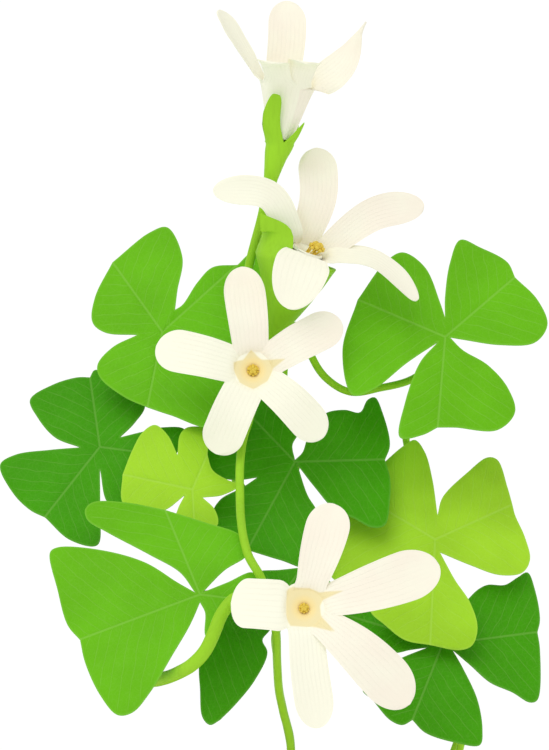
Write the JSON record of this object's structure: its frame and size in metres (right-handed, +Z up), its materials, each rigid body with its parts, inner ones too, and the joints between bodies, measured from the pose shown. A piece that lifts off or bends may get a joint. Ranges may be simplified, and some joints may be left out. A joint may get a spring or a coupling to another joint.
{
  "type": "potted shamrock",
  "caption": "Flowering shamrock plant in a plain clay pot: three-part notched leaves on thin stalks and pale star blooms on a forked stem.",
  "frame": {"origin": "middle of the pot's flat foot", "axes": "+Z up through the pot and the plant, the front of the plant towards -Y"},
  "size_m": [0.11, 0.1098, 0.2535],
  "materials": {
    "leaf_mid": "satin",
    "leaf_dark": "satin",
    "leaf_light": "satin",
    "stem": "satin",
    "petal": "matte",
    "heart": "matte",
    "clay": "matte",
    "soil": "matte"
  },
  "bodies": {
    "root": {"leaf_1_blade": "leaf_mid", "leaf_1_stalk": "stem", "leaf_2_blade": "leaf_mid", "leaf_2_stalk": "stem", "leaf_3_blade": "leaf_dark", "leaf_3_stalk": "stem", "leaf_4_blade": "leaf_light", "leaf_4_stalk": "stem", "leaf_5_blade": "leaf_mid", "leaf_5_stalk": "stem", "leaf_6_blade": "leaf_dark", "leaf_6_stalk": "stem", "leaf_7_blade": "leaf_light", "leaf_7_stalk": "stem", "leaf_8_blade": "leaf_dark", "leaf_8_stalk": "stem", "leaf_9_blade": "leaf_dark", "leaf_9_stalk": "stem", "leaf_10_blade": "leaf_mid", "leaf_10_stalk": "stem", "leaf_11_blade": "leaf_mid", "leaf_12_blade": "leaf_mid", "leaf_13_blade": "leaf_dark", "leaf_14_blade": "leaf_dark", "leaf_15_blade": "leaf_light", "leaf_16_blade": "leaf_dark", "leaf_17_blade": "leaf_mid", "rear_stem_left": "stem", "rear_stem_right": "stem", "bloom_1_petals": "petal", "bloom_1_heart": "heart", "bloom_2_petals": "petal", "bloom_2_heart": "heart", "bloom_3_petals": "petal", "bloom_3_heart": "heart", "bloom_4_petals": "petal", "bloom_4_heart": "heart", "flower_stem": "stem", "pot": "clay", "soil": "soil"}
  },
  "joints": []
}
